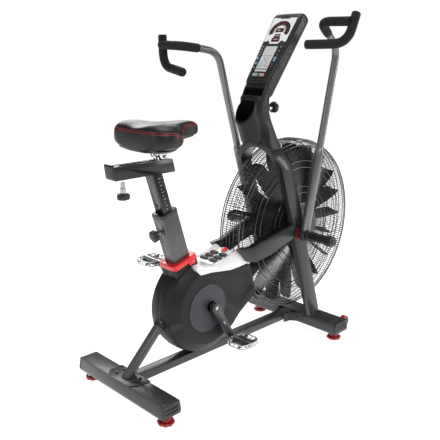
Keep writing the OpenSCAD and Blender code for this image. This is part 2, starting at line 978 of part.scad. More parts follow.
rear_stabilizer();
end_caps();
rear_saddle_plate();
rear_strut();
main_rail();
front_stabilizer();
front_gusset();
wheel_brackets();
front_legs();
side_stays();
front_arch();
axle_brackets();
fan_axle();
foot_pegs();
inner_frame();
crank_bearings();
seat_tube();
post_sleeve();
post_collar();
shroud_left();
shroud_right();
crank_covers();
top_cover();
step_pads();
cage_sides();
cage_band();
mast();
cup_holder();
console_housing();
console_face();
lcd_lens();
drive_belt();
frame_bolts();
crank_axle();
crank_arms();
crank_pulley();
pedal_left();
pedal_right();
fan_hub();
fan_blades();
arm_left();
arm_right();
grip_left();
grip_right();
seat_post();
seat_slider();
saddle();
post_knob();
slider_knob();
mast_knob();
foot_rear_left();
foot_rear_right();
foot_front_left();
foot_front_right();
wheel_left();
wheel_right();
key_start();
key_stop();
key_left();
key_right();
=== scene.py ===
"""Looks of the air bike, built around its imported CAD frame. Metres, row frame."""
import json
import math

import bmesh
import bpy
import numpy as np
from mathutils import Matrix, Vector


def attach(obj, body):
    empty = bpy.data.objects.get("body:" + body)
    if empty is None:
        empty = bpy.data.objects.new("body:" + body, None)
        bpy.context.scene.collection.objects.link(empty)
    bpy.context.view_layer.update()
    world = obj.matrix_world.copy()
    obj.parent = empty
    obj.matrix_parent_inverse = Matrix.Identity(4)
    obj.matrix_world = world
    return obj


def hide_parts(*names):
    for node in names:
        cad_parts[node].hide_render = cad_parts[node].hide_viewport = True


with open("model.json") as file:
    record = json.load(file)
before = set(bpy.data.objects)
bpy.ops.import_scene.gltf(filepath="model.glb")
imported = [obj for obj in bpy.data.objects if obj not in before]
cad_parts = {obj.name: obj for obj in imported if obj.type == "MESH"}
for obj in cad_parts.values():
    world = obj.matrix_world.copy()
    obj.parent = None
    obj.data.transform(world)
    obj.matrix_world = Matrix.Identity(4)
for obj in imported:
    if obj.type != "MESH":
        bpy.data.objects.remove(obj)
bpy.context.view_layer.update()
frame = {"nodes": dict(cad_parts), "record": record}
NODES = frame["nodes"]

# driving sizes in the layout's own millimetres; a pair is x and z in the side view
DATUM = 128.5                 # how far ahead of the layout's origin the row's origin lies
FAN = (405.0, 495.0)          # fan axis
CRANK = (-122.0, 283.0)       # crank axis
PIVOT = (343.5, 481.5)        # arm pivots
SEAT_REF = (-276.0, 665.0)    # mouth of the seat tube
SEAT_LEAN = math.radians(17.2)
FACE_REF = (198.0, 1097.0)    # foot of the console's face
FACE_TILT = math.radians(54.15)
SWING = 13.05                 # degrees at rest: left arm back, right arm forward
CAGE_R = 360.0
CRANK_LEN = 168.0
CRANK_ANGLE = math.radians(59.5)
BLADES = 20
WIRES = 240
WORLD_SEEN = 1.0              # brightness of the studio behind the machine
WORLD_LIGHT = 0.16            # and of the light that it sends onto it


# ---------- camera, light and floor ----------

def make_camera():
    data = bpy.data.cameras.new("camera")
    data.lens = 52.53
    data.sensor_width = 36.0
    cam = bpy.data.objects.new("camera", data)
    bpy.context.collection.objects.link(cam)
    cam.location = (-1.7978, -1.7166, 1.2271)
    aim = Vector((-0.1285, 0.0, 0.581)) - cam.location
    cam.rotation_euler = aim.to_track_quat("-Z", "Y").to_euler()
    bpy.context.scene.camera = cam


def area_light(name, place, aim, size, power):
    data = bpy.data.lights.new(name, "AREA")
    data.shape = "RECTANGLE"
    data.size, data.size_y = size
    data.energy = power
    lamp = bpy.data.objects.new(name, data)
    bpy.context.collection.objects.link(lamp)
    lamp.location = place
    lamp.rotation_euler = (Vector(aim) - Vector(place)).to_track_quat("-Z", "Y").to_euler()


def add_node(tree, kind, **inputs):
    """A shader node with some of its inputs set; an underscore in a name stands for a space."""
    made = tree.nodes.new("ShaderNode" + kind)
    for key, value in inputs.items():
        made.inputs[key.replace("_", " ")].default_value = value
    return made


def make_world():
    """A white studio that lights the machine less than it is seen."""
    world = bpy.data.worlds.new("studio")
    bpy.context.scene.world = world
    world.use_nodes = True
    t = world.node_tree
    back = t.nodes["Background"]
    back.inputs["Color"].default_value = (1, 1, 1, 1)
    path = add_node(t, "LightPath")
    level = add_node(t, "MapRange", To_Min=WORLD_LIGHT, To_Max=WORLD_SEEN)
    t.links.new(path.outputs["Is Camera Ray"], level.inputs["Value"])
    t.links.new(level.outputs["Result"], back.inputs["Strength"])
    bpy.context.scene.view_settings.view_transform = "Standard"


make_camera()
area_light("key", (-1.6, -3.4, 3.2), (0, 0, 0.6), (2.0, 1.4), 62)
area_light("fill", (-4.0, 0.8, 2.2), (0, 0, 0.6), (1.2, 2.4), 26)
area_light("top", (0.3, 0.4, 4.4), (0, 0, 0.5), (2.6, 2.6), 78)
area_light("rim", (2.6, -2.4, 1.9), (0, 0, 0.7), (0.8, 2.4), 45)
area_light("back", (1.6, 3.2, 2.6), (0, 0, 0.6), (2.4, 1.6), 60)
make_world()


# ---------- materials ----------

DRIFT_SCALE = 9.0
MAT = {}


def finish(name, color, rough, metal=0.0, spec=0.5, coat=0.0, vary=0.06, rough_vary=0.06,
           grain=None, cells=None, wear=None):
    """A procedural finish whose colour and roughness drift, with worn edges.

    grain and cells are each (scale, strength, depth).
    """
    m = bpy.data.materials.new(name)
    m.use_nodes = True
    t = m.node_tree
    link = t.links.new
    bsdf = t.nodes["Principled BSDF"]
    for key, value in (("Metallic", metal), ("Specular IOR Level", spec), ("Coat Weight", coat),
                       ("Coat Roughness", 0.12)):
        bsdf.inputs[key].default_value = value
    place = add_node(t, "TexCoord").outputs["Object"]
    drift = add_node(t, "TexNoise", Scale=DRIFT_SCALE, Detail=5.0)
    link(place, drift.inputs["Vector"])
    ramp = add_node(t, "ValToRGB")
    dark, pale = ramp.color_ramp.elements
    dark.position, pale.position = 0.3, 0.7
    dark.color = (*[max(0.0, c * (1 - vary)) for c in color], 1)
    pale.color = (*[min(1.0, c * (1 + vary)) for c in color], 1)
    link(drift.outputs["Fac"], ramp.inputs["Fac"])
    out = ramp.outputs["Color"]
    if wear:
        edge = add_node(t, "MapRange", From_Min=0.52, From_Max=0.62, To_Max=0.55)
        link(add_node(t, "NewGeometry").outputs["Pointiness"], edge.inputs["Value"])
        mix = add_node(t, "Mix")
        mix.data_type = "RGBA"
        mix.inputs["B"].default_value = (*wear, 1)
        link(edge.outputs["Result"], mix.inputs["Factor"])
        link(out, mix.inputs["A"])
        out = mix.outputs["Result"]
    link(out, bsdf.inputs["Base Color"])
    smear = add_node(t, "TexNoise", Scale=DRIFT_SCALE * 4.1, Detail=4.0)
    link(place, smear.inputs["Vector"])
    gloss = add_node(t, "MapRange", To_Min=max(0.02, rough - rough_vary),
                     To_Max=min(1.0, rough + rough_vary))
    link(smear.outputs["Fac"], gloss.inputs["Value"])
    link(gloss.outputs["Result"], bsdf.inputs["Roughness"])
    normal = None
    for kind, output, relief in (("TexNoise", "Fac", grain), ("TexVoronoi", "Distance", cells)):
        if not relief:
            continue
        scale, strength, depth = relief
        tex = add_node(t, kind, Scale=scale)
        if kind == "TexNoise":
            tex.inputs["Detail"].default_value = 3.0
        else:
            tex.feature = "DISTANCE_TO_EDGE"
        link(place, tex.inputs["Vector"])
        bump = add_node(t, "Bump", Strength=strength, Distance=depth)
        link(tex.outputs[output], bump.inputs["Height"])
        if normal:
            link(normal, bump.inputs["Normal"])
        normal = bump.outputs["Normal"]
    if normal:
        link(normal, bsdf.inputs["Normal"])
    MAT[name] = m
    return m


# painted and bare metal
finish("frame_paint", (.011, .011, .012), .32, metal=.35, coat=.12, grain=(900, .08, .0004),
       wear=(.16, .16, .17))
finish("tube_paint", (.085, .085, .088), .34, metal=.55, coat=.1, grain=(1100, .08, .0004),
       wear=(.25, .25, .26))
finish("arm_paint", (.17, .17, .175), .34, metal=.7, coat=.1, grain=(1200, .02, .0003), wear=(.4, .4, .4))
finish("crank_paint", (.012, .012, .013), .25, coat=.35, grain=(900, .06, .0003), wear=(.08, .08, .08))
finish("post_paint", (.005, .005, .006), .22, spec=.3, coat=.15, grain=(1000, .05, .0002),
       wear=(.09, .09, .09))
finish("fan_steel", (.004, .004, .0045), .6, spec=.05, grain=(600, .06, .0004))
finish("wire_chrome", (.13, .13, .135), .24, metal=.9, grain=(700, .05, .0002))
finish("bolt_steel", (.03, .03, .032), .3, metal=.8, grain=(900, .1, .0003), wear=(.2, .2, .2))
finish("steel", (.5, .5, .51), .3, metal=1.0, grain=(900, .1, .0003))
finish("chrome", (.78, .78, .79), .1, metal=1.0, rough_vary=.04)
finish("cast_pulley", (.06, .06, .06), .6, metal=.6, grain=(400, .5, .001))
finish("pedal_alloy", (.56, .56, .58), .28, metal=.9, grain=(800, .15, .0004), wear=(.8, .8, .8))
# plastics
finish("black_plastic", (.006, .006, .007), .36, grain=(1600, .16, .0004), wear=(.05, .05, .05))
finish("red_plastic", (.36, .006, .010), .22, coat=.4, grain=(900, .05, .0003))
finish("red_bright", (.80, .015, .022), .30, coat=.3, grain=(1200, .06, .0003))
finish("shroud_plastic", (.008, .008, .009), .46, spec=.3, grain=(1500, .2, .0004), wear=(.05, .05, .05),
       rough_vary=.05)
finish("grey_plastic", (.040, .040, .050), .42, metal=.2, grain=(1500, .14, .0004))
finish("white_gloss", (.86, .86, .87), .12, coat=.5, vary=.015, grain=(500, .02, .0002))
finish("mast_plastic", (.010, .010, .011), .42, spec=.3, grain=(1500, .2, .0004), wear=(.05, .05, .05))
finish("console_plastic", (.008, .008, .009), .36, spec=.35, grain=(1500, .16, .0004),
       wear=(.06, .06, .06))
finish("cup_plastic", (.0015, .0015, .0016), .7, spec=.1)
finish("key_plastic", (.32, .33, .34), .3, grain=(900, .1, .0003))
finish("lcd_glass", (.60, .62, .61), .12, coat=.6, vary=.02)
# soft stuff
finish("pad_rubber", (.055, .055, .058), .7, grain=(1300, .3, .0005))
finish("belt_rubber", (.014, .014, .014), .7, grain=(800, .3, .0005))
finish("foam", (.012, .012, .013), .8, spec=.3, grain=(1400, .55, .0009), cells=(900, .35, .0006))
finish("vinyl", (.008, .008, .009), .38, spec=.4, vary=.12, grain=(240, .16, .0012),
       cells=(620, .35, .0006))
finish("thread_red", (.50, .012, .018), .6, grain=(2500, .5, .0003))
# printed inks
finish("ink_black", (.012, .011, .012), .3, vary=.05)
finish("ink_red", (.30, .012, .016), .35)
finish("ink_blue", (.02, .13, .24), .35)
finish("ink_green", (.02, .17, .05), .35)
finish("ink_grey", (.32, .32, .33), .35)

# finishes that aren't slots of the record, and the slot that each belongs to
SLOT_OF = {"cup_plastic": "black_plastic", "red_bright": "red_plastic", "thread_red": "vinyl",
           "ink_black": "console_plastic", "ink_red": "key_plastic", "ink_blue": "key_plastic",
           "ink_green": "key_plastic", "ink_grey": "key_plastic"}


# ---------- mesh helpers ----------

def to_row(points):
    """Layout millimetres to the row frame in metres."""
    p = np.asarray(points, dtype=float).copy()
    p[:, 0] -= DATUM
    return p / 1000


def mesh_of(name, verts, faces):
    """A mesh of points in layout millimetres, with its faces turned outwards."""
    me = bpy.data.meshes.new(name)
    me.from_pydata([tuple(v) for v in to_row(verts)], [], [tuple(int(i) for i in f) for f in faces])
    bm = bmesh.new()
    bm.from_mesh(me)
    bmesh.ops.recalc_face_normals(bm, faces=bm.faces)
    bm.to_mesh(me)
    bm.free()
    return me


def add_piece(name, verts, faces, mat, body, replaces=(), sharp=35, slot=None):
    return place_mesh(name, mesh_of(name, verts, faces), mat, body, replaces, sharp, slot)


def place_mesh(name, me, mat, body, replaces=(), sharp=35, slot=None):
    """A finished piece that rides on a body; edges over sharp degrees stay crisp."""
    me.shade_smooth()
    me.set_sharp_from_angle(angle=math.radians(sharp))
    me.materials.clear()
    me.materials.append(MAT[mat])
    o = bpy.data.objects.new(name, me)
    bpy.context.collection.objects.link(o)
    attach(o, body)
    if replaces:
        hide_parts(*replaces)
    slot or SLOT_OF.get(mat, mat)
    return o


def evaluated(o):
    """Applies every modifier of o."""
    deps = bpy.context.evaluated_depsgraph_get()
    deps.update()
    me = bpy.data.meshes.new_from_object(o.evaluated_get(deps))
    o.modifiers.clear()
    old = o.data
    o.data = me
    bpy.data.meshes.remove(old)
    return o


def sharpen(o, angle=35):
    o.data.shade_smooth()
    o.data.set_sharp_from_angle(angle=math.radians(angle))


def merge(parts):
    """Several (verts, faces) as one."""
    verts, faces, n = [], [], 0
    for v, f in parts:
        v = np.asarray(v, dtype=float)
        verts.append(v)
        faces += [[i + n for i in face] for face in f]
        n += len(v)
    return np.vstack(verts), faces


def skin(rings, closed=False, caps=True):
    """Quads between rings of equal count."""
    m = len(rings[0])
    n = len(rings)
    verts = np.vstack(rings)
    faces = []
    for i in range(n if closed else n - 1):
        a, b = i * m, ((i + 1) % n) * m
        for j in range(m):
            k = (j + 1) % m
            faces.append([a + j, a + k, b + k, b + j])
    if caps and not closed:
        faces.append(list(range(m))[::-1])
        faces.append([(n - 1) * m + j for j in range(m)])
    return verts, faces


def frames(path, closed=False):
    """Parallel-transported normals along a path."""
    p = np.asarray(path, dtype=float)
    if closed:
        tan = np.roll(p, -1, 0) - np.roll(p, 1, 0)
    else:
        tan = np.gradient(p, axis=0)
    tan /= np.linalg.norm(tan, axis=1)[:, None]
    ref = np.array([0, 1, 0.0]) if abs(tan[0][1]) < 0.9 else np.array([0, 0, 1.0])
    nor = [np.cross(tan[0], ref)]
    nor[0] /= np.linalg.norm(nor[0])
    for t in tan[1:]:
        v = nor[-1] - t * np.dot(nor[-1], t)
        nor.append(v / np.linalg.norm(v))
    nor = np.array(nor)
    return p, nor, np.cross(tan, nor)


def sweep(path, section, closed=False, scale=None):
    """section: points (a, b) along the normal and binormal."""
    p, n, b = frames(path, closed)
    rings = []
    for i in range(len(p)):
        s = 1 if scale is None else scale[i]
        rings.append([p[i] + s * (a * n[i] + c * b[i]) for a, c in section])
    return skin(rings, closed)


def circle(r, n=16):
    return [(r * math.cos(2 * math.pi * i / n), r * math.sin(2 * math.pi * i / n)) for i in range(n)]


def soft_rect(w, h, r, n=4):
    """A rectangle with rounded corners, about its middle."""
    pts = []
    for cx, cy, a0 in ((1, 1, 0), (-1, 1, 90), (-1, -1, 180), (1, -1, 270)):
        for k in range(n + 1):
            a = math.radians(a0 + 90 * k / n)
            pts.append((cx * (w / 2 - r) + r * math.cos(a), cy * (h / 2 - r) + r * math.sin(a)))
    return pts


def tube(path, r, n=16, closed=False, scale=None):
    return sweep(path, circle(r, n), closed, scale)


def rounded(points, radii, steps=8):
    """A path with its inner corners rounded."""
    pts = [np.array(p, dtype=float) for p in points]
    out = [pts[0]]
    for i in range(1, len(pts) - 1):
        a, b, c = pts[i - 1], pts[i], pts[i + 1]
        r = radii[i - 1]
        u, v = (a - b) / np.linalg.norm(a - b), (c - b) / np.linalg.norm(c - b)
        half = math.acos(max(-1, min(1, float(np.dot(u, v))))) / 2
        d = min(r / math.tan(half), 0.49 * np.linalg.norm(a - b), 0.49 * np.linalg.norm(c - b))
        p, q = b + u * d, b + v * d
        for k in range(steps + 1):
            t = k / steps
            out.append((1 - t) ** 2 * p + 2 * t * (1 - t) * (0.12 * (p + q) / 2 + 0.88 * b) + t * t * q)
    out.append(pts[-1])
    return np.array(out)


def densify(path, step):
    """The same path with points no more than about a step apart."""
    out = []
    for a, b in zip(path[:-1], path[1:]):
        n = max(1, int(np.linalg.norm(b - a) / step))
        out += [a + (b - a) * k / n for k in range(n)]
    out.append(path[-1])
    return np.array(out)


def rotate_y(points, degrees, c):
    """Right-hand turn about the Y axis through c = (x, z)."""
    a = math.radians(degrees)
    p = np.asarray(points, dtype=float).copy()
    x, z = p[:, 0] - c[0], p[:, 2] - c[1]
    p[:, 0] = c[0] + x * math.cos(a) + z * math.sin(a)
    p[:, 2] = c[1] - x * math.sin(a) + z * math.cos(a)
    return p


def flip_y(vf):
    """The mirror image across the machine's middle plane."""
    v = np.asarray(vf[0], dtype=float).copy()
    v[:, 1] *= -1
    return v, [f[::-1] for f in vf[1]]


def to_side(vf, side):
    """A shape made for the left side (side > 0), or its mirror image for the right."""
    return vf if side > 0 else flip_y(vf)


def blend_table(t, table):
    """Straight-line reading of a table of (t, value) rows."""
    xs, ys = zip(*table)
    return float(np.interp(t, xs, ys))


def round_edges(o, width, segments=2, angle=32):
    """Bevels every edge of o that turns by more than angle; width in millimetres."""
    mod = o.modifiers.new("edges", "BEVEL")
    mod.width = width / 1000
    mod.segments = segments
    mod.limit_method = "ANGLE"
    mod.angle_limit = math.radians(angle)
    evaluated(o)
    sharpen(o, 40)
    return o


def polish(node, body, mat, width, name=None):
    """A copy of a CAD node with its flats joined up and its edges rounded."""
    me = NODES[node].data.copy()
    bm = bmesh.new()
    bm.from_mesh(me)
    bmesh.ops.remove_doubles(bm, verts=bm.verts, dist=1e-5)
    bmesh.ops.dissolve_limit(bm, angle_limit=math.radians(1.5), verts=bm.verts, edges=bm.edges)
    bmesh.ops.dissolve_degenerate(bm, dist=2e-5, edges=bm.edges)
    bm.to_mesh(me)
    bm.free()
    o = place_mesh(name or node + "_finish", me, mat, body, (node,))
    return round_edges(o, width)


# ---------- floor ----------

def make_floor():
    half = 9
    me = bpy.data.meshes.new("floor")
    me.from_pydata([(-half, -half, 0), (half, -half, 0), (half, half, 0), (-half, half, 0)], [],
                   [(0, 1, 2, 3)])
    o = bpy.data.objects.new("floor", me)
    bpy.context.collection.objects.link(o)
    white = finish("floor_white", (.55, .55, .55), .7, spec=.2, vary=.004, rough_vary=.02)
    bsdf = white.node_tree.nodes["Principled BSDF"]
    bsdf.inputs["Emission Color"].default_value = (1, 1, 1, 1)
    bsdf.inputs["Emission Strength"].default_value = 0.90
    me.materials.append(white)


make_floor()


# ---------- fan cage and fan ----------

# half section of one cage wire: radius from the axis and height off the middle plane
WIRE_SECTION = [(92, 73.5), (150, 70.5), (210, 66.5), (270, 61.5), (318, 56.5), (346, 52), (355, 47),
                (359.5, 40), (360.5, 28), (360.5, 10)]


def ring_path(r, y, n=120):
    """A circle about the fan's axis, y off the middle plane."""
    a = np.linspace(0, 2 * math.pi, n, endpoint=False)
    return np.stack([FAN[0] + r * np.cos(a), np.full(n, y), FAN[1] + r * np.sin(a)], 1)


def make_cage():
    section = WIRE_SECTION + [(r, -y) for r, y in WIRE_SECTION[::-1]]
    parts = []
    for i in range(WIRES):
        a = 2 * math.pi * i / WIRES
        path = [(FAN[0] + r * math.cos(a), y, FAN[1] + r * math.sin(a)) for r, y in section]
        parts.append(tube(path, 1.15, 4))
    add_piece("cage_wires", *merge(parts), "wire_chrome", "frame", ("cage_sides",), sharp=60)
    rings = [(362.2, 9, 1.5), (362.2, -9, 1.5), (361.8, 30, 1.5), (361.8, -30, 1.5)]
    for s in (1, -1):
        for r, y, t in ((352.5, 51.5, 2.4), (338, 55.5, 1.5), (275, 63.2, 1.5), (248, 65.6, 1.5),
                        (168, 71.6, 1.5), (142, 73.2, 1.5), (97, 75.6, 2.4)):
            rings.append((r, s * y, t))
    parts = [tube(ring_path(r, y), t, 8, closed=True) for r, y, t in rings]
    add_piece("cage_rings", *merge(parts), "wire_chrome", "frame", ("cage_band",), sharp=60)
    profile = [(14, 86), (14, 77), (60, 78.5), (92, 77.5), (97, 75), (97, 72.5), (60, 72), (9, 72),
               (9, 86)]
    parts = [skin([ring_path(r, s * y, 64) for r, y in profile], closed=True) for s in (1, -1)]
    add_piece("cage_hub_plates", *merge(parts), "black_plastic", "frame", sharp=30)


BLADE_CHORD = 80.0
BLADE_THICK = 1.6
BLADE_CAMBER = 7.0
BLADE_ROOT = 62.0
BLADE_SPAN = 280.0
BLADE_TILT = math.radians(78)  # from the plane of the wheel, so the blades are nearly paddles


def blade_ring(f, c, out, along):
    """A blade's section at f of its span: out is the radial and along the tangential direction."""
    w = BLADE_CHORD * min(1.0, 0.62 + 0.6 * f, 1.0 - 1.3 * (f - 0.86))
    r = BLADE_ROOT + BLADE_SPAN * f
    ring = []
    for side in (1, -1):
        for j in range(7):
            q = (j / 6 - 0.5) * side
            camber = BLADE_CAMBER * (0.25 - q * q) * 4 * (0.5 + 0.5 * f)
            off = camber + side * BLADE_THICK / 2
            across_wheel = q * w * math.sin(BLADE_TILT) + off * math.cos(BLADE_TILT)
            round_wheel = q * w * math.cos(BLADE_TILT) - off * math.sin(BLADE_TILT)
            ring.append(c + out * (r - 5 * f * (2 * q) ** 2) + along * round_wheel
                        + np.array([0, 1, 0.0]) * across_wheel)
    return np.array(ring)


def make_fan():
    parts = []
    steps = 16
    c = np.array([FAN[0], 0, FAN[1]])
    for i in range(BLADES):
        a = 2 * math.pi * i / BLADES
        out = np.array([math.cos(a), 0, math.sin(a)])
        along = np.array([-math.sin(a), 0, math.cos(a)])
        parts.append(skin([blade_ring(k / steps, c, out, along) for k in range(steps + 1)]))
    add_piece("fan_rotor_blades", *merge(parts), "fan_steel", "fan", ("fan_blades",), sharp=50)
    profile = [(12, 29), (60, 29), (76, 22), (82, 8), (82, -8), (76, -22), (60, -29), (12, -29)]
    add_piece("fan_rotor_hub", *skin([ring_path(r, y, 64) for r, y in profile], closed=True),
              "fan_steel", "fan", sharp=30)


make_cage()
make_fan()


# ---------- arms and grips ----------

# middle lines of the left arm and of its grip's two tubes, with the arm upright
ARM_PATH = [(343.5, 145, 505), (315, 162, 1232), (229, 173, 1268)]
GRIP_IN = [(229, 173, 1268), (152, 187, 1295), (162, 312, 1296)]
GRIP_OUT = [(182, 318, 1332), (158, 318, 1215), (119, 161, 1203)]
FOAM_R = 17.2


def foam_tube(line, both_ends):
    """Foam over a tube, with its cut ends rounded over; the inner tube has one such end."""
    s = np.ones(len(line))
    line = line.copy()
    s[0], s[1] = .80, .97
    line[1] = line[0] + (line[2] - line[0]) * 0.12
    if both_ends:
        s[-1], s[-2] = .80, .97
        line[-2] = line[-1] + (line[-3] - line[-1]) * 0.12
    return tube(line, FOAM_R, 24, scale=s)


def make_arm(side):
    name = "left" if side > 0 else "right"
    turn = -SWING * side

    def put(tag, parts, mat, replaced=()):
        v, f = merge(parts)
        v, f = to_side((rotate_y(v, turn, PIVOT), f), side)
        return add_piece(f"{tag}_{name}", v, f, mat, f"arm_{name}", replaced, sharp=40)

    def about_pivot(stations, r, n, scale):
        return sweep([(PIVOT[0], y, PIVOT[1]) for y in stations], circle(r, n), scale=scale)

    path = rounded(ARM_PATH + [(200, 177, 1279)], [70, 60], 10)
    put("arm_tube", [tube(path, 14.2, 20)], "arm_paint", (f"arm_{name}",))
    low, top = np.array(ARM_PATH[0]), np.array(ARM_PATH[1])
    sleeve = [low + (top - low) * k for k in (-0.01, 0.0, 0.42, 0.452, 0.462)]
    put("arm_sleeve", [sweep(sleeve, circle(18.6, 24), scale=[.9, 1, 1, .96, .8])], "arm_paint")
    put("arm_boss", [about_pivot((130.5, 132, 158, 160.5), 25.5, 40, [.93, 1, 1, .93])], "black_plastic")
    inner = densify(rounded(GRIP_IN, [42], 10), 12)
    outer = densify(rounded(GRIP_OUT, [58], 14), 12)
    foam = put("foam_grip", [foam_tube(inner, False), foam_tube(outer, True)], "foam", (f"grip_{name}",))
    ring = about_pivot((124.05, 124.4, 125.6, 125.9), 27, 48, [.96, 1, 1, .96])
    add_piece(f"pivot_ring_{name}", *to_side(ring, side), "red_plastic", "frame")


make_arm(1)
make_arm(-1)


# ---------- saddle ----------

# stations from the rear to the nose: x, half width, top, bottom, dip of the middle
SADDLE = [
    (-403, 60, 955, 910, 0), (-401, 92, 967, 901, 4), (-394, 116, 978, 896, 9),
    (-380, 133, 986, 892, 15), (-360, 144, 990, 890, 19), (-338, 147, 990, 890, 20),
    (-316, 143, 988, 891, 18), (-296, 131, 985, 893, 15), (-278, 112, 982, 896, 12),
    (-260, 88, 980, 901, 9), (-244, 69, 979, 907, 6), (-226, 55, 979, 912, 4),
    (-206, 46, 979, 916, 2), (-184, 40, 979, 919, 1), (-162, 35.5, 977, 921, 0),
    (-146, 31, 973, 923, 0), (-135, 26, 967, 926, 0), (-128, 18, 959, 931, 0),
    (-125, 9, 952, 937, 0)]
WAIST = 0.42                  # where the cushion is widest, of its height
CORNER = 0.62                 # how full the cushion's section is; 1 would be an ellipse


def saddle_ring(x, w, top, low, dip, n=56):
    """One cross-section: flat-bottomed, full sides, crowned top with a hollow along it."""
    pts = []
    h = top - low
    for i in range(n):
        a = 2 * math.pi * i / n
        c, s = math.cos(a), math.sin(a)
        y = w * math.copysign(abs(c) ** CORNER, c)
        if s >= 0:
            z = low + h * WAIST + h * (1 - WAIST) * abs(s) ** CORNER
            z -= dip * math.exp(-(y / (0.30 * w + 6)) ** 2)
        else:
            z = low + h * WAIST - h * WAIST * abs(s) ** 0.75
            y *= 1 - 0.10 * abs(s) ** 2
        pts.append((x, y, z))
    return np.array(pts)


def smooth_stations(rows, n):
    """n stations on a smooth curve through the rows."""
    rows = np.array(rows, dtype=float)
    t = np.concatenate([[0], np.cumsum(np.hypot(np.diff(rows[:, 0]), np.diff(rows[:, 1])))])
    out = []
    for u in np.linspace(0, t[-1], n):
        i = min(len(t) - 2, max(0, int(np.searchsorted(t, u)) - 1))
        p0, p1, p2, p3 = rows[max(0, i - 1)], rows[i], rows[i + 1], rows[min(len(t) - 1, i + 2)]
        f = (u - t[i]) / (t[i + 1] - t[i])
        out.append(0.5 * (2 * p1 + (p2 - p0) * f + (2 * p0 - 5 * p1 + 4 * p2 - p3) * f * f
                          + (3 * p1 - 3 * p2 + p3 - p0) * f ** 3))
    return np.array(out)


# height of each seam along the saddle: x, z
REAR_SEAM = [(-405, 962), (-380, 962), (-350, 960), (-320, 952), (-296, 938), (-275, 919), (-262, 905),
             (-257, 900)]
NOSE_SEAM = [(-243, 940), (-232, 953), (-215, 965), (-190, 969), (-160, 968), (-140, 963), (-124, 955)]


def seam_line(stations, seam, lower):
    """Where the cushion's flank is at the seam's height, from one side over the end to the other."""
    half = []
    for x, w, top, low, dip in stations:
        if not seam[0][0] <= x <= seam[-1][0]:
            continue
        z = blend_table(x, seam) - lower
        waist = low + (top - low) * WAIST
        if z > top or z < low:
            continue
        if z > waist:
            s = ((z - waist) / (top - waist)) ** (1 / CORNER)
            shrink = 1.0
        else:
            s = ((waist - z) / (waist - low)) ** (1 / 0.75)
            shrink = 1 - 0.10 * s * s
        y = w * shrink * math.sqrt(max(0.0, 1 - s * s)) ** CORNER
        half.append((x, y + 0.3, z + 0.3))
    half = np.array(half)
    mirrored = half * [1, -1, 1]
    if seam is REAR_SEAM:
        return np.concatenate([half[::-1], mirrored])
    return np.concatenate([half, mirrored[::-1]])


def stitches(line):
    """Short threads along a line, with gaps between them."""
    line = densify(line, 3.0)
    return [tube(line[k:k + 4], 0.75, 5) for k in range(0, len(line) - 4, 4)]


def make_saddle():
    """The padded cushion, its twin seams and the moulded pan under it."""
    stations = smooth_stations(SADDLE, 56)
    rings = [saddle_ring(*row) for row in stations]
    # close both ends with shrinking rings so that they stay round
    for end, k in ((0, -1), (-1, 1)):
        base = rings[end]
        c = base.mean(0)
        for s in (0.72, 0.35):
            r = c + (base - c) * s
            r[:, 0] += k * (1 - s) * 2.2
            if end == 0:
                rings.insert(0, r)
            else:
                rings.append(r)
    cushion = add_piece("saddle_cushion", *skin(rings), "vinyl", "seat_slider", ("saddle",), sharp=80)
    fine = smooth_stations(SADDLE, 500)
    parts = []
    for seam in (REAR_SEAM, NOSE_SEAM):
        for lower in (0, 6.5):
            parts += stitches(seam_line(fine, seam, lower))
    add_piece("saddle_stitching", *merge(parts), "thread_red", "seat_slider", sharp=70)
    section = [(1, 8), (.9, 1), (.3, -5), (-.3, -5), (-.9, 1), (-1, 8), (0, 12)]
    pan = [[(x, y * w * .80, low + h) for y, h in section] for x, w, _, low, _ in stations[3:-6]]
    add_piece("saddle_pan", *skin(pan), "black_plastic", "seat_slider", sharp=40)


make_saddle()


# ---------- booleans and turned shapes ----------

def combine(o, vf, how="DIFFERENCE"):
    """Cuts a throwaway solid from o, or joins it on."""
    tool = bpy.data.objects.new("tool", mesh_of("tool", *vf))
    bpy.context.collection.objects.link(tool)
    mod = o.modifiers.new("cut", "BOOLEAN")
    mod.operation = how
    mod.solver = "EXACT"
    mod.object = tool
    evaluated(o)
    bpy.data.objects.remove(tool)
    return o


def clay(o, voxel, passes):
    """Remeshes o evenly and relaxes it, so that its masses flow together."""
    mod = o.modifiers.new("remesh", "REMESH")
    mod.mode = "VOXEL"
    mod.voxel_size = voxel / 1000
    mod = o.modifiers.new("relax", "SMOOTH")
    mod.factor = 0.5
    mod.iterations = passes
    return evaluated(o)


def prism(points, place, low, high):
    """points (a, b) carried by place(a, b, c) from c = low to c = high."""
    return skin([[place(a, b, c) for a, b in points] for c in (low, high)])


def across(a, b, c):
    """Side view outline: x and z, with c across the machine."""
    return (a, c, b)


def disc(c, r, y0, y1, n=64):
    """A disc about an axis that lies across the machine."""
    pts = [(c[0] + r * math.cos(2 * math.pi * i / n), c[1] + r * math.sin(2 * math.pi * i / n))
           for i in range(n)]
    return prism(pts, across, y0, y1)


def turned(profile, origin, axis, lobes=0, n=None, closed=False):
    """profile rows (along, radius, lobe depth), turned about an axis through origin."""
    axis = np.array(axis, dtype=float)
    axis /= np.linalg.norm(axis)
    ref = np.array([0, 1.0, 0]) if abs(axis[1]) < 0.9 else np.array([1.0, 0, 0])
    u = np.cross(axis, ref)
    u /= np.linalg.norm(u)
    w = np.cross(axis, u)
    n = n or (lobes * 16 if lobes else 40)
    rings = []
    for t, r, depth in profile:
        ring = []
        for i in range(n):
            a = 2 * math.pi * i / n
            k = r - depth * (1 - abs(math.cos(lobes * a / 2)) ** 0.7) if lobes else r
            ring.append(np.array(origin) + axis * t + k * (u * math.cos(a) + w * math.sin(a)))
        rings.append(np.array(ring))
    return skin(rings, closed)


